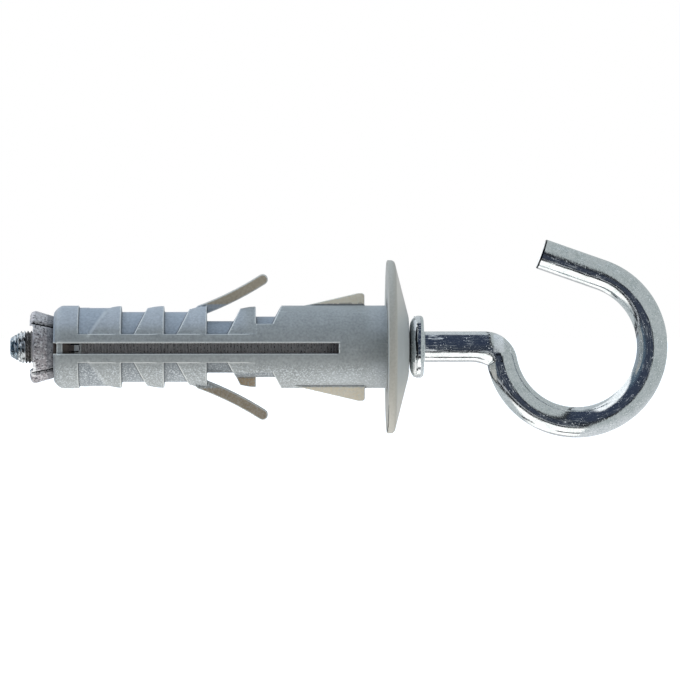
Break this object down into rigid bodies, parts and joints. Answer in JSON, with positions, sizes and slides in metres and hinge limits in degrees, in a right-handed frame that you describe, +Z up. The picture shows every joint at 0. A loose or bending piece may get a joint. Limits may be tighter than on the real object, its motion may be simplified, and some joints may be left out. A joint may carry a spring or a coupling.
{
  "type": "open hook wall plug",
  "caption": "Open wire hook on a threaded shank, held in a slotted, barbed nylon sleeve by a cone nut that spreads it in the hole, with a dished cover disc.",
  "frame": {"origin": "centre of the cover disc's back face, where the screw's axis meets the wall's face", "axes": "+X along the screw out of the wall, towards the hook; +Z up, with the hook's bend in the XZ plane"},
  "size_m": [0.0986, 0.026, 0.0298],
  "materials": {
    "sleeve_nylon": "satin moulded nylon",
    "disc_nylon": "satin moulded nylon",
    "zinc_casting": "matt zinc die casting",
    "zinc_plate": "bright zinc plate"
  },
  "bodies": {
    "plug": {"expansion_sleeve": "sleeve_nylon", "cover_disc": "disc_nylon"},
    "screw_hook": {"hook": "zinc_plate"},
    "nut": {"cone_nut": "zinc_casting"}
  },
  "joints": [
    {"name": "hook_turn", "type": "hinge", "parent": "plug", "child": "screw_hook", "pos_m": [0, 0, 0], "axis": [-1, 0, 0], "range_deg": [-1080, 360]},
    {"name": "nut_slide", "type": "slide", "parent": "plug", "child": "nut", "axis": [1, 0, 0], "range_m": [-0.0015, 0.0005]}
  ],
  "couplings": [
    {"joint": "nut_slide", "follows": "hook_turn", "m_per_rad": 0.00007957}
  ]
}
